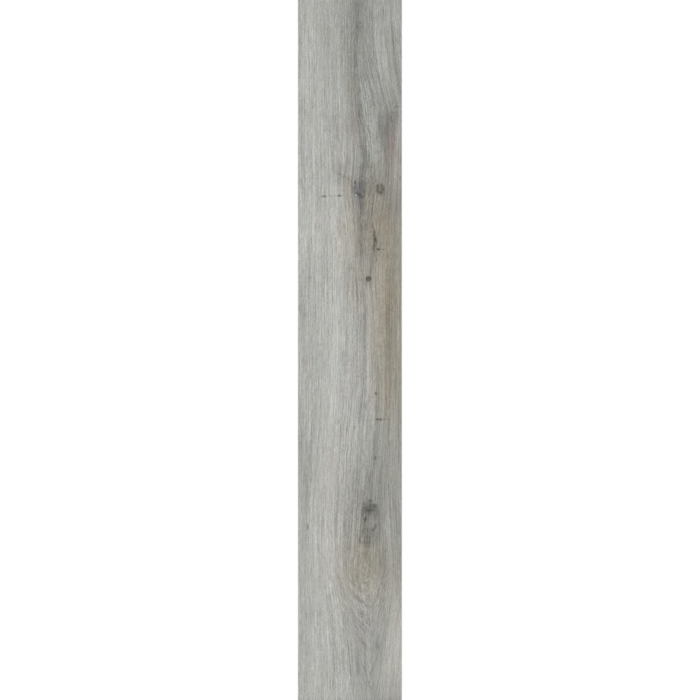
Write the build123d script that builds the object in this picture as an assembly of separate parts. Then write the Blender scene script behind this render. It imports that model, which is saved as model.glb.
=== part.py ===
from build123d import *
import os

# Glue-down vinyl plank: one flat, die-cut slab with a printed wood face, lying face up.
# Frame: X across the width, Y along the length, Z up through the thickness.
# The origin is at the middle of the glued underside.

# Driving dimensions, in millimetres
plank_length = 1220.0
plank_width = 180.0
plank_thickness = 2.5
edge_bevel = 0.4


def make_plank():
    """The slab, cut square at the back, with a fine bevel round the four edges of its face."""
    outline = Rectangle(plank_width, plank_length)
    slab = extrude(outline, amount=plank_thickness)
    printed_face = slab.faces().sort_by(Axis.Z)[-1]
    return chamfer(printed_face.edges(), length=edge_bevel)


plank = make_plank()
plank.label = "plank"

os.makedirs("parts", exist_ok=True)
export_step(plank, "parts/plank.step")
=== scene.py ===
"""A glue-down vinyl plank, lying face up, with a grey oak print and an embossed grain."""
import math
from collections import namedtuple

import bpy
import numpy as np
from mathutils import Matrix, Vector


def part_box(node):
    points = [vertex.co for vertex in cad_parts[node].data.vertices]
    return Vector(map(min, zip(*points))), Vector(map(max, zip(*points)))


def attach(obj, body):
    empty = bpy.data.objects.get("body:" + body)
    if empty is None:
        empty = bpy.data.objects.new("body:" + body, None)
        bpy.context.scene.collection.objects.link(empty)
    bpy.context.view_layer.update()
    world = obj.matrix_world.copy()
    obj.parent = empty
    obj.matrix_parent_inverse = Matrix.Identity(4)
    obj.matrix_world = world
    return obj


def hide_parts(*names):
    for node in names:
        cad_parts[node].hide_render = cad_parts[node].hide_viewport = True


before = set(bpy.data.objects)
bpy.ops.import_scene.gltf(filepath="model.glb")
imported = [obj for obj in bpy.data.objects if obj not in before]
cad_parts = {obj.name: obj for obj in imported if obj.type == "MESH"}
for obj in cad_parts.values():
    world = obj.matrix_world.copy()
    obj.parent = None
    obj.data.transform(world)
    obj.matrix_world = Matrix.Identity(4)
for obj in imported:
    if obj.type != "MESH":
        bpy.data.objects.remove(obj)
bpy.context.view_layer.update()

# Sizes of the plank, from the frame, in metres
PLANK_LOW, PLANK_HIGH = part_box("plank")
WIDTH = PLANK_HIGH.x - PLANK_LOW.x
LENGTH = PLANK_HIGH.y - PLANK_LOW.y
THICKNESS = PLANK_HIGH.z - PLANK_LOW.z
LEVELS = sorted({round(v.co.z, 6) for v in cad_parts["plank"].data.vertices})
BEVEL = LEVELS[-1] - LEVELS[-2]

# The print and relief are laid out in millimetres from the middle of the plank
MM = 0.001


# Fields: numbers that vary over the plank, written as sums and built as nodes

class Field:
    """A number or place that varies over the plank. Sums with it become nodes in its tree."""

    def __init__(self, tree, socket):
        self.tree = tree
        self.socket = socket

    def node(self, kind, operation, values, clamp=False):
        node = self.tree.nodes.new(kind)
        node.operation = operation
        for socket, value in zip(node.inputs, values):
            plug(value, socket)
        if clamp:
            node.use_clamp = True
        return node

    def maths(self, operation, *values, clamp=False):
        node = self.node("ShaderNodeMath", operation, (self, *values), clamp)
        return Field(self.tree, node.outputs["Value"])

    def __add__(self, other):
        return self.maths("ADD", other)

    def __sub__(self, other):
        return self.maths("SUBTRACT", other)

    def __mul__(self, other):
        return self.maths("MULTIPLY", other)

    def plus(self, share, other):
        """This field plus a share of another."""
        return other.maths("MULTIPLY_ADD", share, self)

    def scaled(self, gain, offset):
        return self.maths("MULTIPLY_ADD", gain, offset)

    def no_more_than(self, limit):
        return self.maths("MINIMUM", limit)

    def no_less_than(self, limit):
        return self.maths("MAXIMUM", limit)

    def stretched(self, gain, offset):
        """A place scaled and moved by the given amounts in X, Y and Z."""
        node = self.node("ShaderNodeVectorMath", "MULTIPLY_ADD", (self, gain, offset))
        return Field(self.tree, node.outputs["Vector"])

    def length_squared(self):
        node = self.node("ShaderNodeVectorMath", "DOT_PRODUCT", (self, self))
        return Field(self.tree, node.outputs["Value"])


def plug(value, socket):
    """Links a field to a socket, or sets the socket to a plain value."""
    if isinstance(value, Field):
        value.tree.links.new(value.socket, socket)
    else:
        socket.default_value = value


def pair(across, along):
    """A place on the plank, as one field."""
    node = across.tree.nodes.new("ShaderNodeCombineXYZ")
    plug(across, node.inputs["X"])
    plug(along, node.inputs["Y"])
    return Field(across.tree, node.outputs["Vector"])


def rise(field, low, high):
    """Zero on low's side, one on high's side, and smooth between them."""
    node = field.tree.nodes.new("ShaderNodeMapRange")
    node.interpolation_type = "SMOOTHSTEP"
    plug(field, node.inputs["Value"])
    node.inputs["From Min"].default_value = low
    node.inputs["From Max"].default_value = high
    return Field(field.tree, node.outputs["Result"])


def distance_squared(place, centre, reach):
    """The square of the distance from a centre, with the reach each way as one."""
    gain = (1 / reach[0], 1 / reach[1], 0)
    offset = (-centre[0] / reach[0], -centre[1] / reach[1], 0)
    return place.stretched(gain, offset).length_squared()


def spot(place, centre, reach):
    """A soft spot: one at its centre, falling away slowly over its reach each way."""
    away = distance_squared(place, centre, reach)
    node = away.node("ShaderNodeMath", "POWER", (1 / math.e, away))
    return Field(place.tree, node.outputs["Value"])


# A firm spot is zero and one at these squares of the distance from its centre
BLOT_OUTSIDE, BLOT_INSIDE = 1.9, 0.25


def blot(place, centre, reach):
    """A firm spot: one inside, and zero a little outside its reach each way."""
    return rise(distance_squared(place, centre, reach), BLOT_OUTSIDE, BLOT_INSIDE)


def noise(place, size, seed, detail=2.0, roughness=0.5):
    """A random field from about -1 to 1, with cells of the given size across and along."""
    node = place.tree.nodes.new("ShaderNodeTexNoise")
    node.noise_dimensions = "3D"
    node.inputs["Scale"].default_value = 1.0
    node.inputs["Detail"].default_value = detail
    node.inputs["Roughness"].default_value = roughness
    plug(place.stretched((1 / size[0], 1 / size[1], 0), (0, 0, seed)), node.inputs["Vector"])
    return Field(place.tree, node.outputs[0]).scaled(2.0, -1.0)


def through(field, points, low, high):
    """A smooth curve through points of (field, value), for values from low to high."""
    node = field.tree.nodes.new("ShaderNodeFloatCurve")
    start, end = points[0][0], points[-1][0]
    curve = node.mapping.curves[0]
    places = [((p - start) / (end - start), (v - low) / (high - low)) for p, v in points]
    curve.points[0].location = places[0]
    curve.points[1].location = places[-1]
    for place in places[1:-1]:
        curve.points.new(*place)
    node.mapping.update()
    plug(field.scaled(1 / (end - start), -start / (end - start)), node.inputs["Value"])
    return Field(field.tree, node.outputs["Value"]).scaled(high - low, low)


# The grain: where its lines run, in millimetres

# Each line of grain: its place on a plank of straight grain, then (y, x) where it runs here
GRAIN_LINES = (
    (-90, ((-610, -90), (610, -90))),
    (-62, ((-610, -63), (-500, -65), (-400, -69), (-313, -71), (-226, -68), (-90, -62),
           (90, -59), (260, -58), (435, -60), (610, -62))),
    (-31, ((-610, -30), (-510, -32), (-452, -36), (-400, -40), (-350, -42), (-300, -42),
           (-226, -40), (-157, -36), (-87, -30), (0, -28), (261, -29), (435, -33), (610, -34))),
    (-12, ((-610, 3), (-522, 0), (-452, -9), (-409, -17), (-365, -24), (-330, -26), (-226, -24),
           (-157, -19), (-87, -14), (87, -8), (209, -5), (278, -11), (348, -6), (435, -10),
           (610, -12))),
    (12, ((-610, 23), (-560, 22), (-505, 19), (-470, 13), (-435, 5), (-391, 0), (-340, 5),
          (-287, 10), (-244, 12), (-174, 14), (-87, 21), (0, 25), (90, 26), (122, 22), (209, 19),
          (278, 16), (348, 18), (435, 11), (522, 9), (570, 14), (610, 12))),
    (28, ((-610, 37), (-522, 35), (-435, 33), (-365, 31), (-313, 33), (-261, 35), (-191, 42),
          (-139, 44), (-87, 47), (0, 44), (87, 40), (124, 37), (190, 44), (235, 49), (278, 54),
          (340, 57), (383, 54), (418, 51), (444, 45), (470, 37), (496, 30), (522, 26), (610, 26))),
    (61, ((-610, 47), (-574, 49), (-505, 56), (-435, 66), (-383, 72), (-330, 70), (-261, 66),
          (-174, 68), (-87, 71), (87, 73), (261, 78), (348, 80), (415, 82), (435, 78), (500, 68),
          (610, 61))),
    (91, ((-610, 70), (-540, 76), (-478, 84), (-400, 95), (-330, 96), (-174, 91), (87, 91),
          (261, 96), (348, 102), (418, 114), (500, 100), (610, 91))),
)
PLACES = [place for place, _ in GRAIN_LINES]

# The farthest that a line runs from the middle of the plank
LINE_REACH = 140

# How far the grain wanders from these lines, and how long a wander is across and along
WANDER, WANDER_CELLS = 1.2, (30, 90)

# How far to each side of a point the spread of the lines is measured
SIDE_STEP = 3


def grain_place(x, y):
    """Where the line of grain through (x, y) would run on a plank of straight grain."""
    lines = [through(y, points, -LINE_REACH, LINE_REACH) for _, points in GRAIN_LINES]
    total = (x - lines[0]).no_more_than(0.0) + PLACES[0]
    for i in range(len(lines) - 1):
        share = (x - lines[i]).maths("DIVIDE", lines[i + 1] - lines[i], clamp=True)
        total = total.plus(PLACES[i + 1] - PLACES[i], share)
    total = total + (x - lines[-1]).no_less_than(0.0)
    return total.plus(WANDER, noise(pair(x, y), WANDER_CELLS, seed=3.1))


def grain_at(x, y):
    """The same for one point, and how wide a millimetre across the plank is in straight grain."""
    lines = [np.interp(y, *zip(*points)) for _, points in GRAIN_LINES]
    left, place, right = np.interp((x - SIDE_STEP, x, x + SIDE_STEP), lines, PLACES)
    return float(place), float(right - left) / (2 * SIDE_STEP)


# The print: tones in levels of 0 to 255, warmth as how far red stands above blue

# A patch: its middle and half its size, in millimetres, and what it adds to tone and warmth
Patch = namedtuple("Patch", "x y half_width half_length tone warm", defaults=(0,))

# Tone across the plank at its middle, as (x, tone)
TONE_ACROSS = ((-90, 167), (-52, 172), (-27, 177), (2, 170), (38, 156), (68, 142), (90, 147))

# Broad patches, in plain coordinates, from the far end
BROAD_PATCHES = (
    Patch(60, 605, 16, 35, 7),
    Patch(80, 590, 18, 50, 6),
    Patch(16, 585, 9, 45, -9),
    Patch(7, 574, 26, 130, -25),
    Patch(20, 566, 14, 22, 4),
    Patch(-38, 565, 15, 70, -5),
    Patch(-29, 540, 16, 140, -10),
    Patch(68, 540, 17, 96, 17),
    Patch(-22, 522, 8, 20, -4),
    Patch(21, 470, 14, 26, -6),
    Patch(8, 460, 13, 55, -10),
    Patch(-82, 455, 14, 50, 5),
    Patch(52, 438, 15, 18, -6),
    Patch(2, 418, 9, 70, 0, 3),
    Patch(17, 395, 8, 40, -13),
    Patch(66, 395, 17, 32, -7, 1),
    Patch(-26, 385, 18, 34, -12),
    Patch(5, 385, 15, 48, -17, 1),
    Patch(-53, 348, 10, 16, 4),
    Patch(64, 345, 18, 24, -7, 1),
    Patch(76, 345, 12, 50, -2, 5),
    Patch(27, 335, 6.5, 42, -14),
    Patch(-13, 307, 24, 34, -18, 1),
    Patch(-5, 282, 12, 24, 0, 3),
    Patch(18, 275, 24, 49, -20, 2),
    Patch(2, 261, 6, 14, -4),
    Patch(39, 252, 21, 70, -14, 5),
    Patch(56, 232, 18, 34, 0, 4),
    Patch(-20, 215, 13, 26, 0, 3),
    Patch(19.5, 212, 7.5, 48, -17, -2),
    Patch(-74, 205, 20, 55, 13),
    Patch(0, 205, 22, 46, -9, 5),
    Patch(72, 200, 14, 40, -2, 3.5),
    Patch(35, 183, 17, 44, -10, 2),
    Patch(-34, 174, 8, 18, 5),
    Patch(18, 157, 31, 87, 0, 4),
    Patch(-47, 128, 10, 32, -5),
    Patch(7, 118, 21, 44, -18, 3),
    Patch(-84, 90, 8, 30, -7),
    Patch(63, 87, 23, 165, 0, 14),
    Patch(88, 60, 14, 165, -4, 5),
    Patch(20, 45, 8, 26, -11),
    Patch(50, 45, 6, 50, 10),
    Patch(35, 10, 26, 90, 0, 3),
    Patch(66, -70, 22, 60, -1, 6),
    Patch(-29, -80, 13, 70, 6),
    Patch(-60, -90, 14, 36, 4),
    Patch(40, -125, 6, 32, 6),
    Patch(14, -131, 8, 28, -6),
    Patch(-29, -183, 14, 44, 0, 3),
    Patch(-78, -195, 16, 49, -9),
    Patch(75, -209, 14, 104, 8, 2),
    Patch(24, -215, 18, 36, -9),
    Patch(-80, -261, 10, 20, -5),
    Patch(32, -287, 23, 66, -16, 2),
    Patch(-38, -300, 11, 80, 0, 2.5),
    Patch(64, -307, 18, 28, 7),
    Patch(-8, -313, 24, 122, -10, 2),
    Patch(-58, -325, 10, 45, 5),
    Patch(76, -348, 14, 60, 9),
    Patch(30, -362, 18, 36, -12, 4.5),
    Patch(33, -385, 50, 58, -3, 8.5),
    Patch(72, -435, 12, 34, 7),
    Patch(0, -452, 24, 87, -10, 1),
    Patch(-71, -500, 7, 30, 4),
    Patch(80, -522, 22, 104, 27, 3),
    Patch(20, -545, 16, 70, -10),
    Patch(58, -572, 12, 40, 8),
    Patch(-28, -572, 18, 40, -9),
    Patch(-72, -575, 20, 40, 8),
)

# Places where the print is pinker or greener than elsewhere
Tint = namedtuple("Tint", "x y half_width half_length green")
TINTS = (
    Tint(2, -78, 20, 70, -1.4),
    Tint(25, -500, 20, 60, -1.4),
    Tint(0, 360, 16, 60, -1.0),
    Tint(75, 368, 14, 40, -3.0),
    Tint(15, 280, 12, 18, -2.0),
    Tint(66, 40, 26, 170, 1.6),
    Tint(30, -380, 36, 40, 1.2),
)

# Streaks, from the far end: each follows the grain from where it is written
STREAKS = (
    Patch(15, 588, 6, 42, -10),
    Patch(-47, 574, 4.5, 44, -5),
    Patch(52, 574, 6, 49, 8),
    Patch(40, 566, 3, 59, -8),
    Patch(75, 553, 4, 49, -10),
    Patch(-62, 531, 5, 35, 4),
    Patch(-78, 522, 5, 24, 5),
    Patch(9, 515, 2.8, 60, -9),
    Patch(21, 510, 3, 24, 12),
    Patch(0, 505, 5, 104, -5),
    Patch(29, 505, 3, 21, -9),
    Patch(63, 494, 5, 45, 12),
    Patch(39, 477, 3.5, 24, -9),
    Patch(-82, 466, 5, 24, 6),
    Patch(-46, 456, 4.5, 45, -6),
    Patch(-33, 452, 5, 59, 4),
    Patch(40, 441, 2, 20, -9),
    Patch(38, 395, 8, 60, 9),
    Patch(62, 392, 4, 26, 4),
    Patch(53.5, 392, 4, 24, -6),
    Patch(30, 391, 7, 20, -6),
    Patch(85, 369, 3.5, 42, 12),
    Patch(21, 368, 5, 55, -9),
    Patch(-61, 365, 14, 70, 4),
    Patch(5, 351, 6, 45, 5),
    Patch(79, 317, 4.5, 28, 9),
    Patch(85, 300, 6, 16, 8),
    Patch(-26, 284, 8.5, 16, 8),
    Patch(80, 251, 7, 24, -7),
    Patch(66, 238, 4.5, 21, -10),
    Patch(-4, 226, 5, 42, 7),
    Patch(21, 212, 4.5, 45, -3),
    Patch(18, 171, 4, 38, -7),
    Patch(19.4, 168, 3, 26, -6, -2),
    Patch(9, 168, 4, 24, 2),
    Patch(39, 153, 3, 24, -3),
    Patch(53, 122, 4.5, 45, 8),
    Patch(-5, 87, 3.5, 104, -3),
    Patch(-48, 87, 7, 104, -3),
    Patch(-26, 52, 5, 165, 5),
    Patch(26, 35, 2.5, 70, -9),
    Patch(67, 26, 5.5, 87, -11),
    Patch(85, 26, 3.5, 38, 8),
    Patch(33, 9, 3, 104, 12),
    Patch(48, -52, 3, 31, -9),
    Patch(23, -61, 2.5, 63, -6),
    Patch(56, -87, 3.5, 38, 7),
    Patch(-15, -87, 3.5, 104, -4),
    Patch(38, -87, 5, 18, 4),
    Patch(46, -106, 1.5, 30, -12),
    Patch(-38, -143, 7, 70, 5),
    Patch(27, -143, 4, 63, 11),
    Patch(53, -157, 3.5, 31, 7),
    Patch(-66, -157, 2.5, 56, -7),
    Patch(-85, -157, 3.5, 52, -6),
    Patch(43, -165, 2.5, 31, -15),
    Patch(25, -223, 3, 35, 10),
    Patch(38, -230, 3, 30, -11),
    Patch(12, -237, 3.5, 30, -12),
    Patch(-75, -238, 3.5, 31, -8),
    Patch(-21, -278, 3, 28, -5),
    Patch(-59, -296, 7, 87, 5),
    Patch(-77, -306, 4, 21, -8),
    Patch(-8, -331, 3.5, 70, -4),
    Patch(13, -335, 5, 30, -5),
    Patch(-20, -385, 3, 30, -7),
    Patch(59, -386, 3, 35, -8),
    Patch(75, -391, 6, 16, 4),
    Patch(70, -449, 2.5, 31, -7),
    Patch(-21, -456, 5, 38, 6),
    Patch(74, -470, 4, 42, 6, 3),
    Patch(51, -478, 5, 18, 5),
    Patch(49, -517, 3.5, 14, -14),
    Patch(22, -520, 3, 26, -7),
    Patch(33, -532, 5, 22, 7),
    Patch(3, -539, 2.5, 70, -7),
    Patch(46, -540, 2.5, 14, -7),
    Patch(28, -553, 4, 8, -9),
    Patch(68, -555, 5, 45, 6, 3),
    Patch(1, -555, 2, 50, -9),
    Patch(39, -558, 2, 8, -8),
    Patch(13, -558, 2, 10, -8),
    Patch(29, -598, 4, 8, -7),
)

# Knots, from the far end: the firm marks in each, in plain coordinates
EDGE_KNOT = (
    Patch(64, 394, 15, 25, -9),
    Patch(51, 393, 1.6, 20, -6),
    Patch(77, 405, 8, 12, -5),
    Patch(70, 403, 2.2, 8, -6),
    Patch(74, 428, 1.6, 5, -12),
    Patch(77.5, 421.5, 2.2, 2.6, -12),
    Patch(84, 424, 6, 1.6, -12),
    Patch(77, 413.5, 5, 1.6, -10),
    Patch(56, 366, 3, 12, -8),
    Patch(61, 352, 3, 10, -6),
)
CREASE = (
    Patch(-26, 310.5, 5.5, 1.8, -8, 2),
    Patch(-18, 306, 5.5, 1.8, -9, 3),
    Patch(-10, 302, 5.5, 1.8, -10, 3),
    Patch(-3, 298.5, 4.5, 2.4, -10, 2),
)
GREY_KNOT = (
    Patch(15, 280, 12, 14, -10, -4),
    Patch(9, 291.5, 2, 3.6, -32),
    Patch(8, 282, 2.2, 3, -18),
    Patch(25.5, 277, 1.6, 7, -14),
    Patch(12, 273, 3, 3, -14),
    Patch(16.5, 270.5, 3.6, 4.4, -16),
    Patch(21.5, 266.5, 3.2, 3, -22),
    Patch(10.8, 269.5, 1.5, 1.5, 52),
    Patch(24, 261, 1.6, 4, 10),
    Patch(17.5, 257, 5.5, 9, -10, -3),
)
BROWN_KNOT = (
    Patch(52.5, 281, 7, 8.6, -16),
    Patch(48.3, 285.5, 2, 3.4, -18, -3),
    Patch(55.8, 286, 2, 3.3, -18, -3),
    Patch(58, 279.5, 1.9, 3.6, -17, -3),
    Patch(54.5, 273.5, 3.4, 2.6, -17, -3),
    Patch(53, 281, 1.5, 2.5, 8),
)
SPLIT_KNOT = (
    Patch(40.5, 216, 1.4, 5.5, -22, -2),
    Patch(42, 204, 2.3, 7, -24, -4),
    Patch(43.5, 195, 2.4, 6, -20, -4),
    Patch(44, 188.5, 3.9, 7.5, -23, -6),
    Patch(42, 177.5, 3, 5.5, -22, -5),
    Patch(49.5, 175, 3, 2.3, -46, -4),
    Patch(57, 175.5, 4.6, 1.4, -18, 3),
    Patch(46.5, 156.5, 1.9, 2.4, -18, 1),
    Patch(43.5, 166, 2.4, 8, -12, 1),
    Patch(38.5, 195, 1.2, 16, 8),
)
PIN_KNOT = (
    Patch(32.5, 124, 4.8, 4.5, -48),
    Patch(28, 113, 3.5, 8.7, -10, -2),
)
LARGE_KNOT = (
    Patch(33.5, -288, 14.5, 30, -9, -1),
    Patch(34, -263, 5, 4, -14),
    Patch(25, -267.5, 4, 2.4, -14),
    Patch(44, -270, 5, 3.2, -20),
    Patch(28, -270.5, 4.5, 1.5, 10),
    Patch(34.5, -275, 10.5, 6.5, -24, -2),
    Patch(22, -281, 2, 11, -15),
    Patch(45.5, -283, 2.2, 12, -16),
    Patch(34, -282, 9, 5, -12, -3),
    Patch(27, -294.5, 2.6, 4, -24),
    Patch(36, -299, 8, 9, 8),
    Patch(44.5, -307, 2.8, 4.5, -20),
    Patch(40.5, -313, 3.6, 3, -20),
    Patch(20, -310, 3.5, 10, -5),
    Patch(31, -309, 6, 1.6, 8),
    Patch(33, -327, 16, 16, -13, -3),
    Patch(31.5, -325.5, 6, 1.8, -8),
    Patch(35.6, -332, 1.4, 7, -11),
    Patch(38.8, -329, 1.4, 3, 8),
    Patch(30, -336, 8, 2.2, -8),
    Patch(31, -342, 6, 2, -8),
    Patch(17, -330, 3, 9, -5),
)
KNOTS = (EDGE_KNOT, CREASE, GREY_KNOT, BROWN_KNOT, SPLIT_KNOT, PIN_KNOT, LARGE_KNOT)

# Small ticks and specks away from the knots
SPECKS = (
    Patch(-45, 267, 5.2, 1.9, -36),
    Patch(-17.5, 268.5, 3.8, 1.7, -46),
    Patch(-33, 268, 18, 1.1, -12),
    Patch(87.5, 297.5, 1.4, 5.2, -20),
    Patch(18, 569.5, 2.6, 1.4, -28),
    Patch(13.5, 562, 1.7, 3.5, -15),
    Patch(21, 563, 1.4, 4, -10),
    Patch(45, -75.5, 2.4, 2.2, -36),
    Patch(49.5, -75, 1.6, 1.6, -16),
    Patch(48, -121, 2.4, 2.0, -38),
    Patch(54, -121, 2.4, 2.0, -38),
    Patch(57, -120, 14, 1.2, -12),
    Patch(44.5, -188, 1.7, 3.5, -30),
    Patch(-73.5, -308, 1.5, 6.1, -38),
    Patch(19.5, -461, 4.3, 5.2, -10),
    Patch(49, -516, 3.5, 4.3, -10),
    Patch(4.5, 142.5, 2.6, 2.6, -10),
)

# Soft stains round the knots
STAINS = (
    Patch(77, 358, 4.5, 20, -6, 5),
    Patch(16, 280, 12.2, 17.4, -10, -3),
    Patch(52.5, 280, 8.7, 11.3, -16, 4),
    Patch(44, 186, 7.8, 20.9, -8, 4),
    Patch(32, 122.5, 8.7, 8.7, -12),
    Patch(33.5, -290.5, 17.4, 38.3, -12, 1),
    Patch(-5, 282, 10.4, 17.4, 0, 4),
)

# The plain print's warmth and green lift: its own, how far it drifts, and over what lengths
NEUTRAL_WARMTH, WARM_DRIFT, WARM_CELLS = 4.5, 5.0, (14, 60)
GREEN_LIFT, LIFT_DRIFT, LIFT_CELLS = 2.5, 2.5, (12, 50)

# The most that a level goes up to, the least share of it that is printed, and the levels' curve
FULL_LEVEL, DARKEST, GAMMA = 255, 0.04, 2.2

# The knots' ragged edges: how far they wander across and along, and how long a wander is
RAGGED_ACROSS, RAGGED_ALONG, RAGGED_CELLS = 1.3, 1.5, (3.5, 5)

# How far the tone inside a knot varies, as a share of it, and the size of the mottles
MOTTLING, MOTTLE_CELLS = 0.6, (2.6, 1.6)


def add_patches(tone, warm, place, patches, shape):
    """Adds patches of the given shape to the print's tone and warmth."""
    for p in patches:
        strength = shape(place, (p.x, p.y), (p.half_width, p.half_length))
        if p.tone:
            tone = tone.plus(p.tone, strength)
        if p.warm:
            warm = warm.plus(p.warm, strength)
    return tone, warm


def in_grain(patch):
    """A streak moved to where it lies on a plank of straight grain."""
    place, stretch = grain_at(patch.x, patch.y)
    return patch._replace(x=place, half_width=patch.half_width * stretch)


def base_tone(x, y, fibre):
    """The print's tone and warmth before its fine grain and its knots."""
    tone = through(x, TONE_ACROSS, 0, FULL_LEVEL)
    warm = tone.scaled(0.0, NEUTRAL_WARMTH)
    tone, warm = add_patches(tone, warm, pair(x, y), BROAD_PATCHES + STAINS, spot)
    return add_patches(tone, warm, fibre, [in_grain(s) for s in STREAKS], spot)


def knot_tone(x, y):
    """What the knots and specks add to the print's tone and warmth, with ragged edges."""
    place = pair(x, y)
    wander_x = noise(place, RAGGED_CELLS, seed=41.0, detail=3, roughness=0.6)
    ragged_x = x.plus(RAGGED_ACROSS, wander_x)
    wander_y = noise(place, RAGGED_CELLS, seed=43.0, detail=3, roughness=0.6)
    ragged_y = y.plus(RAGGED_ALONG, wander_y)
    nothing = x * 0.0
    marks = sum(KNOTS, ()) + SPECKS
    tone, warm = add_patches(nothing, nothing, pair(ragged_x, ragged_y), marks, blot)
    return tone * noise(place, MOTTLE_CELLS, seed=44.0).scaled(MOTTLING, 1.0), warm


# The arches of grain below the large knot: the line that they are centred on, as straight
# grain, how far they reach on the right and on the left, and where the left side narrows
ARCH_CENTRE, ARCH_RIGHT = 30, 31
ARCH_LEFT_FAR, ARCH_LEFT_NEAR = 42, 24
NARROW_FAR, NARROW_NEAR = -440, -560

# Where the arches start to deepen, by how much in each millimetre, how deep they are at most,
# how round they are at the bottom, and how much steeper they are on the right
ARCH_START, ARCH_GROWTH, ARCH_DEPTH = -300, 1.1, 84
ARCH_ROUNDNESS, ARCH_RIGHT_GAIN = 0.05, 2.0

# How jagged the lines of grain are there, and how wide and long a jag is
ARCH_JAG, JAG_CELLS = 9.0, (1.7, 14)

# The dashes and lines that draw the arches, as lengths through and along an arch: close dashes
# give way to wide ones, and the long lines fade
CLOSE_CELLS, WIDE_CELLS, LINE_CELLS = (5, 3.2), (9, 9), (6.5, 26)
WIDE_FROM, WIDE_FULL = -470, -520
LINES_FADE, LINES_GONE = -480, -545

# Where the arches come in along the plank, where they end to the sides, how strong they are,
# and what is left of the fine grain among them
ARCH_FAR, ARCH_NEAR = -350, -430
ARCH_OUTSIDE, ARCH_INSIDE = 1.6, 0.7
ARCH_TONE, ARCH_FIBRES = 41, 0.55


def arches(grain, y):
    """The arched lines below the large knot, in levels of tone, and where they are, from 0 to 1."""
    narrowing = rise(y, NARROW_FAR, NARROW_NEAR)
    gain = narrowing.scaled(1 / ARCH_LEFT_NEAR - 1 / ARCH_LEFT_FAR, 1 / ARCH_LEFT_FAR)
    left = (grain + -ARCH_CENTRE).no_more_than(0.0) * gain
    right = (grain + -ARCH_CENTRE).no_less_than(0.0) * (1 / ARCH_RIGHT)
    right = right * right
    left = left * left
    away = left + right
    depth = y.scaled(ARCH_GROWTH, -ARCH_START * ARCH_GROWTH)
    depth = depth.no_more_than(0.0).no_less_than(-ARCH_DEPTH)
    slope = (left + ARCH_ROUNDNESS).plus(ARCH_RIGHT_GAIN, right).maths("SQRT")
    ring = slope.maths("MULTIPLY_ADD", depth, y)
    ring = pair(ring.plus(ARCH_JAG, noise(pair(grain, y), JAG_CELLS, seed=45.0)), grain)
    close = noise(ring, CLOSE_CELLS, seed=47.0, roughness=0.6) * rise(y, WIDE_FULL, WIDE_FROM)
    wide = noise(ring, WIDE_CELLS, seed=50.0, roughness=0.6) * rise(y, WIDE_FROM, WIDE_FULL)
    lines = noise(ring, LINE_CELLS, seed=52.0, roughness=0.6) * rise(y, LINES_GONE, LINES_FADE)
    inside = rise(away, ARCH_OUTSIDE, ARCH_INSIDE) * rise(y, ARCH_FAR, ARCH_NEAR)
    return (close + wide + lines) * inside * ARCH_TONE, inside


# The narrow bowls of grain at the near end: the line that they are centred on, how far they
# reach on each side, how deep they are, how round at the bottom, and how jagged
BOWL_CENTRE, BOWL_REACH, BOWL_DEPTH = 35, 14, 70
BOWL_ROUNDNESS, BOWL_JAG = 0.06, 5.0

# Lengths through and along a bowl, where the bowls come in along the plank, where they end to
# the sides, and how strong they are
BOWL_CELLS = (8, 30)
BOWL_FAR, BOWL_NEAR = -490, -530
BOWL_OUTSIDE, BOWL_INSIDE = 1.6, 0.8
BOWL_TONE = 30


def bowls(x, y):
    """The narrow bowls of grain at the near end, in levels of tone."""
    aside = x.scaled(1 / BOWL_REACH, -BOWL_CENTRE / BOWL_REACH)
    aside = aside * aside
    ring = (aside + BOWL_ROUNDNESS).maths("SQRT").maths("MULTIPLY_ADD", -BOWL_DEPTH, y)
    ring = ring.plus(BOWL_JAG, noise(pair(x, y), JAG_CELLS, seed=55.0))
    tone = noise(pair(ring, x), BOWL_CELLS, seed=56.0, roughness=0.6)
    tone = tone * rise(aside, BOWL_OUTSIDE, BOWL_INSIDE)
    return tone * rise(y, BOWL_FAR, BOWL_NEAR) * BOWL_TONE


# The fine grain: the width and length of each kind of fibre, and its strength in levels of tone
SPECKLE_CELLS, SPECKLE_TONE = (0.9, 4), 26.0
DASH_CELLS, DASH_TONE = (1.1, 13), 32.0
SHORT_CELLS, SHORT_TONE = (1.2, 40), 36.0
LONG_CELLS, LONG_TONE = (1.5, 200), 36.0
BROAD_CELLS, BROAD_TONE = (7, 240), 17.0
PORE_CELLS, PORE_TONE = (1.0, 22), -18.0
TICK_CELLS, TICK_TONE = (2.2, 26), -8.0

# The values of the noise at which a pore and a pressed tick start and are full, and how far
# pores gather in the paler broad fibres
PORE_START, PORE_FULL, PORE_GATHERING = 0.2, 0.6, 0.4
TICK_START, TICK_FULL = 0.12, 0.5

# How much weaker the fine grain gets in each millimetre to the right
FINE_FALL = -0.0007


def pressed_ticks(fibre):
    """The long marks that are pressed into the face along the grain, from 0 to 1."""
    return rise(noise(fibre, TICK_CELLS, seed=61.0, detail=1), TICK_START, TICK_FULL)


def fibres(fibre):
    """Fine grain in levels of tone, and its pores, from 0 to 1."""
    speckle = noise(fibre, SPECKLE_CELLS, seed=11.0, detail=1)
    dashes = noise(fibre, DASH_CELLS, seed=12.0, roughness=0.6)
    short = noise(fibre, SHORT_CELLS, seed=13.0, roughness=0.6)
    long = noise(fibre, LONG_CELLS, seed=17.0)
    broad = noise(fibre, BROAD_CELLS, seed=23.0)
    gathered = noise(fibre, PORE_CELLS, seed=29.0, detail=1).plus(PORE_GATHERING, broad)
    pores = rise(gathered, PORE_START, PORE_FULL)
    tone = (speckle * SPECKLE_TONE).plus(DASH_TONE, dashes)
    tone = tone.plus(SHORT_TONE, short).plus(LONG_TONE, long).plus(BROAD_TONE, broad)
    return tone.plus(PORE_TONE, pores).plus(TICK_TONE, pressed_ticks(fibre)), pores


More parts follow.
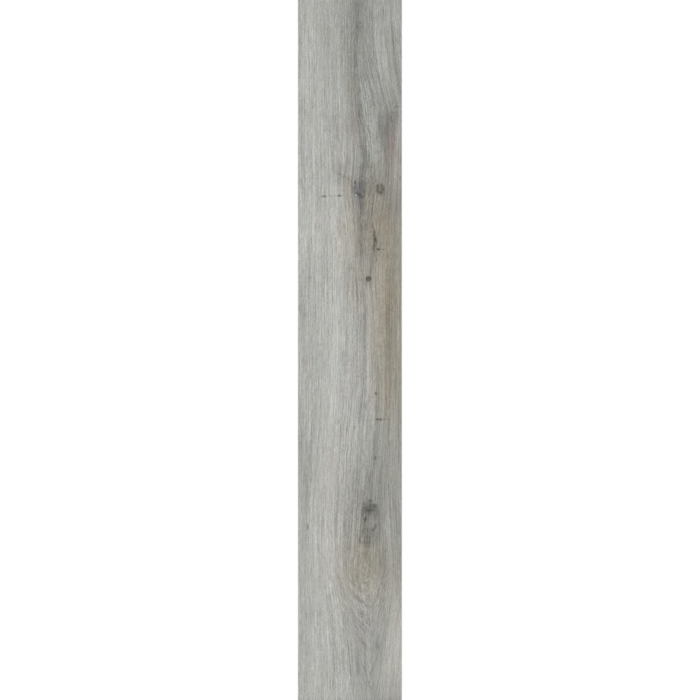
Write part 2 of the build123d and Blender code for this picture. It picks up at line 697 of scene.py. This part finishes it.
def print_colour(tree, x, y):
    """The printed colour, and the pores."""
    grain = grain_place(x, y)
    fibre = pair(grain, y)
    tone, warm = base_tone(x, y, fibre)
    arch_tone, arched = arches(grain, y)
    knots, knot_warm = knot_tone(x, y)
    fine, pores = fibres(fibre)
    fine = fine * arched.scaled(ARCH_FIBRES - 1.0, 1.0) * x.scaled(FINE_FALL, 1.0)
    tone = tone + arch_tone + bowls(x, y) + knots + fine
    warm = (warm + knot_warm).plus(WARM_DRIFT, noise(fibre, WARM_CELLS, seed=53.0))
    lift = noise(fibre, LIFT_CELLS, seed=59.0).scaled(LIFT_DRIFT, GREEN_LIFT)
    place = pair(x, y)
    for t in TINTS:
        lift = lift.plus(t.green, spot(place, (t.x, t.y), (t.half_width, t.half_length)))
    red = tone.plus(0.5, warm).plus(-1 / 3, lift)
    green = tone.plus(2 / 3, lift)
    blue = tone.plus(-0.5, warm).plus(-1 / 3, lift)
    colour = tree.nodes.new("ShaderNodeCombineColor")
    for channel, socket in zip((red, green, blue), colour.inputs):
        plug((channel * (1 / FULL_LEVEL)).no_less_than(DARKEST), socket)
    linear = tree.nodes.new("ShaderNodeGamma")
    linear.inputs["Gamma"].default_value = GAMMA
    tree.links.new(colour.outputs["Color"], linear.inputs["Color"])
    return linear.outputs["Color"], pores


# The finish

# Gloss of all three surfaces
SPECULAR = 0.12

# The printed face: its roughness, what a pore adds to it, and how deep a pore looks, in metres
FACE_ROUGHNESS, PORE_ROUGHNESS, PORE_BUMP = 0.66, 0.1, 0.00008

# The cut edges: sizes of the score marks and filler specks, in millimetres, the grey and what they
# add to it (what the scores add is painted shade in their grooves), the roughness and what the
# scores add to it, and how deep these look, in metres
SCORE_CELLS, SPECK_CELLS = (0.5, 5), (0.4, 0.4)
SPECK_START, SPECK_FULL = 0.3, 0.55
EDGE_GREY, SCORE_PAINTED_SHADE, SPECK_GREY = 0.17, 0.03, 0.06
EDGE_ROUGHNESS, SCORE_ROUGHNESS, SCORE_BUMP = 0.6, 0.1, 0.00006

# The back: the same for its weave and its clouds; what the weave adds to the grey is painted shade,
# darker in its hollows and lighter on its ridges
WEAVE_PITCH, CLOUD_CELLS = 1.2, (18, 30)
BACK_GREY, CLOUD_GREY, WEAVE_PAINTED_SHADE = 0.17, 0.03, 0.015
BACK_ROUGHNESS, WEAVE_ROUGHNESS, WEAVE_BUMP = 0.7, 0.05, 0.00008


def new_material(name):
    """A material with nodes, its tree and its shader."""
    material = bpy.data.materials.new(name)
    material.use_nodes = True
    tree = material.node_tree
    return material, tree, tree.nodes["Principled BSDF"]


def in_millimetres(tree, place):
    """A place on the plank, from a socket in metres, as three fields."""
    split = tree.nodes.new("ShaderNodeSeparateXYZ")
    tree.links.new(place, split.inputs["Vector"])
    return [Field(tree, split.outputs[axis]) * (1 / MM) for axis in "XYZ"]


def surface_place(tree):
    """The place on the plank that a material is asked about."""
    coordinates = tree.nodes.new("ShaderNodeTexCoord")
    return in_millimetres(tree, coordinates.outputs["Object"])


def grey_colour(tree, shader, tone):
    """Gives a shader a grey that varies over the surface."""
    colour = tree.nodes.new("ShaderNodeCombineColor")
    for socket in colour.inputs:
        plug(tone, socket)
    tree.links.new(colour.outputs["Color"], shader.inputs["Base Color"])


def bump(tree, shader, height, distance):
    """Gives a shader small bumps, of the given height in metres where the field is one."""
    node = tree.nodes.new("ShaderNodeBump")
    node.inputs["Distance"].default_value = distance
    plug(height, node.inputs["Height"])
    tree.links.new(node.outputs["Normal"], shader.inputs["Normal"])


def printed_material():
    """The wear layer over the wood print: dull, and duller in the pores."""
    material, tree, shader = new_material("printed_oak")
    x, y, _ = surface_place(tree)
    colour, pores = print_colour(tree, x, y)
    tree.links.new(colour, shader.inputs["Base Color"])
    plug(pores.scaled(PORE_ROUGHNESS, FACE_ROUGHNESS), shader.inputs["Roughness"])
    bump(tree, shader, pores * -1.0, PORE_BUMP)
    shader.inputs["Specular IOR Level"].default_value = SPECULAR
    return material


def edge_material():
    """Filled vinyl cut with a knife: grey, with fine upright score marks, painted shade in their
    grooves, and pale filler specks.
    """
    material, tree, shader = new_material("cut_edge")
    x, y, z = surface_place(tree)
    place = pair(x + y, z)
    scores = noise(place, SCORE_CELLS, seed=5.0, detail=3, roughness=0.6)
    specks = rise(noise(place, SPECK_CELLS, seed=7.0, detail=1), SPECK_START, SPECK_FULL)
    # The scores lighten the grey on their ridges and darken it in their grooves: painted shade
    grey_colour(tree, shader, scores.scaled(SCORE_PAINTED_SHADE, EDGE_GREY).plus(SPECK_GREY, specks))
    plug(scores.scaled(SCORE_ROUGHNESS, EDGE_ROUGHNESS), shader.inputs["Roughness"])
    bump(tree, shader, scores, SCORE_BUMP)
    shader.inputs["Specular IOR Level"].default_value = SPECULAR
    return material


def back_material():
    """The glued side: dull grey vinyl, pressed all over with a fine linen weave, with painted shade
    in the weave's hollows.
    """
    material, tree, shader = new_material("back")
    x, y, _ = surface_place(tree)
    turn = 2 * math.pi / WEAVE_PITCH
    weave = (x * turn).maths("SINE") * (y * turn).maths("SINE")
    clouds = noise(pair(x, y), CLOUD_CELLS, seed=9.0, detail=3)
    # The weave darkens the grey in its hollows and lightens it on its ridges: painted shade
    grey_colour(tree, shader, clouds.scaled(CLOUD_GREY, BACK_GREY).plus(WEAVE_PAINTED_SHADE, weave))
    plug(weave.scaled(WEAVE_ROUGHNESS, BACK_ROUGHNESS), shader.inputs["Roughness"])
    bump(tree, shader, weave, WEAVE_BUMP)
    shader.inputs["Specular IOR Level"].default_value = SPECULAR
    return material


# The relief that is pressed into the printed face, as depths in millimetres

TICK_DEPTH = 0.08
WAVE_DEPTH, WAVE_CELLS = 0.04, (6, 120)

# How deep a knot is sunk where it darkens the print by the given levels or more
KNOT_DEPTH, SUNK_TONE = 0.12, 60

# How far from the plank's edge the relief has its full depth
RELIEF_MARGIN = 4.0


def relief_depth(x, y):
    """How deep the face is pressed at a place, in register with the print."""
    fibre = pair(grain_place(x, y), y)
    waves = noise(fibre, WAVE_CELLS, seed=67.0).scaled(0.5, 0.5)
    depth = (waves * WAVE_DEPTH).plus(TICK_DEPTH, pressed_ticks(fibre))
    knots, _ = knot_tone(x, y)
    sunk = (knots * (-1 / SUNK_TONE)).maths("MULTIPLY", 1.0, clamp=True)
    return depth.plus(KNOT_DEPTH, sunk)


def relief_mask(x, y, z):
    """One on the printed face, fading out beside the bevel, and zero on the rest."""
    aside = x.maths("ABSOLUTE").scaled(-1.0, WIDTH / 2 / MM)
    ahead = y.maths("ABSOLUTE").scaled(-1.0, LENGTH / 2 / MM)
    inside = rise(aside.no_more_than(ahead), BEVEL / MM, RELIEF_MARGIN)
    return inside * rise(z, (THICKNESS - BEVEL) / MM, THICKNESS / MM)


def relief_tree():
    """The nodes that move each point of the printed face down by the relief's depth there."""
    tree = bpy.data.node_groups.new("emboss", "GeometryNodeTree")
    for way in ("INPUT", "OUTPUT"):
        tree.interface.new_socket("Geometry", in_out=way, socket_type="NodeSocketGeometry")
    start = tree.nodes.new("NodeGroupInput")
    end = tree.nodes.new("NodeGroupOutput")
    position = tree.nodes.new("GeometryNodeInputPosition")
    x, y, z = in_millimetres(tree, position.outputs["Position"])
    depth = relief_depth(x, y) * relief_mask(x, y, z)
    offset = tree.nodes.new("ShaderNodeCombineXYZ")
    plug(depth * -MM, offset.inputs["Z"])
    press = tree.nodes.new("GeometryNodeSetPosition")
    tree.links.new(start.outputs["Geometry"], press.inputs["Geometry"])
    tree.links.new(offset.outputs["Vector"], press.inputs["Offset"])
    tree.links.new(press.outputs["Geometry"], end.inputs["Geometry"])
    return tree


def press_relief(plank):
    """Presses the relief into the mesh itself, and leaves no modifier behind."""
    plank.modifiers.new("emboss", "NODES").node_group = relief_tree()
    pressed = plank.evaluated_get(bpy.context.evaluated_depsgraph_get())
    plank.data = bpy.data.meshes.new_from_object(pressed)
    plank.modifiers.clear()


# The plank's mesh: cells of the printed face, and of the back, across and along

CELLS_ACROSS, CELLS_ALONG = 320, 300
COARSE_ACROSS, COARSE_ALONG = 20, 30


def grid(half_width, half_length, across, along, z):
    """Points of a level grid, row by row from the near left corner."""
    xs = np.linspace(-half_width, half_width, across + 1)
    ys = np.linspace(-half_length, half_length, along + 1)
    gx, gy = np.meshgrid(xs, ys)
    return np.stack((gx, gy, np.full_like(gx, z)), axis=-1).reshape(-1, 3)


def rim(across, along):
    """Indices round the edge of such a grid, anticlockwise from the near left corner."""
    row = across + 1
    near = np.arange(across)
    right = across + row * np.arange(along)
    far = row * along + across - np.arange(across)
    left = row * (along - np.arange(along))
    return np.concatenate((near, right, far, left))


def cells(across, along):
    """Corner indices of each cell of such a grid, anticlockwise from above."""
    row = across + 1
    first = (np.arange(along)[:, None] * row + np.arange(across)[None, :]).ravel()
    return np.stack((first, first + 1, first + 1 + row, first + row), axis=-1)


def plank_mesh():
    """One closed mesh: the fine face, its bevel, the cut edges and the coarse back."""
    top = grid(WIDTH / 2 - BEVEL, LENGTH / 2 - BEVEL, CELLS_ACROSS, CELLS_ALONG, THICKNESS)
    edge = grid(WIDTH / 2, LENGTH / 2, CELLS_ACROSS, CELLS_ALONG, THICKNESS - BEVEL)
    edge = edge[rim(CELLS_ACROSS, CELLS_ALONG)]
    back = grid(WIDTH / 2, LENGTH / 2, COARSE_ACROSS, COARSE_ALONG, 0.0)
    points = np.concatenate((top, edge, back))
    top_rim = rim(CELLS_ACROSS, CELLS_ALONG)
    edge_rim = len(top) + np.arange(len(edge))
    back_rim = len(top) + len(edge) + rim(COARSE_ACROSS, COARSE_ALONG)
    faces = cells(CELLS_ACROSS, CELLS_ALONG).tolist()
    groups = ["face"] * len(faces)
    for i in range(len(edge_rim)):
        j = (i + 1) % len(edge_rim)
        faces.append([edge_rim[i], edge_rim[j], top_rim[j], top_rim[i]])
        groups.append("face")
    fine = 0
    for i in range(len(back_rim)):
        j = (i + 1) % len(back_rim)
        on_side = i % (COARSE_ACROSS + COARSE_ALONG) < COARSE_ACROSS
        step = CELLS_ACROSS // COARSE_ACROSS if on_side else CELLS_ALONG // COARSE_ALONG
        above = [edge_rim[k % len(edge_rim)] for k in range(fine + step, fine - 1, -1)]
        faces.append([back_rim[i], back_rim[j], *above])
        groups.append("edge")
        fine += step
    below = cells(COARSE_ACROSS, COARSE_ALONG)[:, ::-1] + len(top) + len(edge)
    faces.extend(below.tolist())
    groups.extend(["back"] * len(below))
    mesh = bpy.data.meshes.new("printed_plank")
    mesh.from_pydata(points.tolist(), [], [[int(v) for v in f] for f in faces])
    order = {"face": 0, "edge": 1, "back": 2}
    mesh.polygons.foreach_set("material_index", [order[g] for g in groups])
    smooth = np.arange(len(faces)) < CELLS_ACROSS * CELLS_ALONG
    mesh.polygons.foreach_set("use_smooth", smooth)
    mesh.validate()
    return mesh


# The map that the finish is baked to, as shares of a square: the printed face takes most of it,
# and the two long edges, the two ends and the back lie in strips beside it
FACE_STRIP = (0.008, 0.728)
LEFT_STRIP, RIGHT_STRIP = (0.744, 0.764), (0.780, 0.800)
END_STRIP = (0.816, 0.836)
BACK_STRIP = (0.852, 0.992)
WHOLE_RUN = (0.005, 0.995)
NEAR_RUN, FAR_RUN = (0.01, 0.47), (0.53, 0.99)


def strip_of(normal):
    """For a face: its strip and run of the map, and the axis of the plank along each."""
    if normal.z > 0.5:
        return FACE_STRIP, WHOLE_RUN, "x", "y"
    if normal.z < -0.5:
        return BACK_STRIP, WHOLE_RUN, "x", "y"
    if abs(normal.x) > 0.5:
        return (LEFT_STRIP if normal.x < 0 else RIGHT_STRIP), WHOLE_RUN, "z", "y"
    return END_STRIP, (NEAR_RUN if normal.y < 0 else FAR_RUN), "z", "x"


def lay_out(mesh):
    """Gives the mesh its bake map."""
    layer = mesh.uv_layers.new(name="OFBake")
    for face in mesh.polygons:
        strip, run, across, along = strip_of(face.normal)
        for corner in face.loop_indices:
            point = mesh.vertices[mesh.loops[corner].vertex_index].co
            layer.uv[corner].vector = (place_in(strip, point, across), place_in(run, point, along))


def place_in(strip, point, axis):
    """Where a point lies in a strip, which spans the whole plank along one of its axes."""
    low, high = getattr(PLANK_LOW, axis), getattr(PLANK_HIGH, axis)
    share = (getattr(point, axis) - low) / (high - low)
    return strip[0] + share * (strip[1] - strip[0])


def make_plank():
    """The dressed plank, which stands for the CAD one."""
    plank = bpy.data.objects.new("printed_plank", plank_mesh())
    bpy.context.scene.collection.objects.link(plank)
    plank.data.materials.append(printed_material())
    plank.data.materials.append(edge_material())
    plank.data.materials.append(back_material())
    press_relief(plank)
    lay_out(plank.data)
    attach(plank, "root")
    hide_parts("plank")


# The stage, in metres

# The photo's size in pixels, the column that the plank's middle is in, and how much of the
# printed face's plane the photo takes in
PHOTO_SIZE, MIDDLE_COLUMN = 700, 349.855
FRAME_HEIGHT = 1.2179
CAMERA_HEIGHT = 3.0
CAMERA_OFFSET = (PHOTO_SIZE / 2 - MIDDLE_COLUMN) * FRAME_HEIGHT / PHOTO_SIZE

# The camera's sensor, in millimetres
SENSOR_WIDTH = 36.0

# The floor lies a hair below the plank, and glows a little where it is seen, to be white
FLOOR_REACH, FLOOR_LEVEL = 8.0, -0.0001
FLOOR_COLOUR, FLOOR_GLOW = (0.9, 0.9, 0.9, 1), 0.2
WHITE = (1, 1, 1, 1)

# The world's strength where it lights the plank, and what is added where it is seen
WORLD_LIGHT, WORLD_GLOW = 0.6, 0.4

# The lamps: where each stands, and its strength, and how wide they look, in degrees
LAMPS = (("key", (-0.6, 0.5, 1.0), 1.2), ("fill", (0.8, -0.3, 1.0), 0.49))
LAMP_SPREAD = 35


def seen_directly(tree):
    """One for what the camera sees, also by way of a reflection or through glass."""
    path = tree.nodes.new("ShaderNodeLightPath")
    camera, glossy, transmission = (
        Field(tree, path.outputs[f"Is {ray} Ray"]) for ray in ("Camera", "Glossy", "Transmission")
    )
    return camera.no_less_than(glossy).no_less_than(transmission)


def make_floor():
    """A plain white floor."""
    mesh = bpy.data.meshes.new("floor")
    around = ((-1, -1), (1, -1), (1, 1), (-1, 1))
    corners = [(FLOOR_REACH * x, FLOOR_REACH * y, FLOOR_LEVEL) for x, y in around]
    mesh.from_pydata(corners, [], [(0, 1, 2, 3)])
    floor = bpy.data.objects.new("floor", mesh)
    bpy.context.scene.collection.objects.link(floor)
    material, tree, shader = new_material("white_floor")
    shader.inputs["Base Color"].default_value = FLOOR_COLOUR
    shader.inputs["Roughness"].default_value = 1.0
    shader.inputs["Specular IOR Level"].default_value = 0.0
    plug(seen_directly(tree) * FLOOR_GLOW, shader.inputs["Emission Strength"])
    shader.inputs["Emission Color"].default_value = WHITE
    mesh.materials.append(material)


def make_world():
    """Even white light from all round."""
    world = bpy.data.worlds.new("studio")
    bpy.context.scene.world = world
    world.use_nodes = True
    tree = world.node_tree
    background = tree.nodes["Background"]
    background.inputs["Color"].default_value = WHITE
    plug(seen_directly(tree).scaled(WORLD_GLOW, WORLD_LIGHT), background.inputs["Strength"])


def make_lights():
    """Two wide, soft lamps."""
    for name, direction, strength in LAMPS:
        light = bpy.data.lights.new(name, "SUN")
        light.energy = strength
        light.angle = math.radians(LAMP_SPREAD)
        lamp = bpy.data.objects.new(name, light)
        lamp.rotation_mode = "QUATERNION"
        lamp.rotation_quaternion = Vector(direction).to_track_quat("Z", "Y")
        bpy.context.scene.collection.objects.link(lamp)


def make_camera():
    """Looks straight down, with the plank upright in the frame as in the photo."""
    camera = bpy.data.cameras.new("camera")
    camera.sensor_width = SENSOR_WIDTH
    camera.lens = SENSOR_WIDTH * (CAMERA_HEIGHT - THICKNESS) / FRAME_HEIGHT
    eye = bpy.data.objects.new("camera", camera)
    eye.location = (CAMERA_OFFSET, 0, CAMERA_HEIGHT)
    bpy.context.scene.collection.objects.link(eye)
    bpy.context.scene.camera = eye


make_plank()
make_floor()
make_world()
make_lights()
make_camera()
bpy.context.scene.view_settings.view_transform = "Standard"
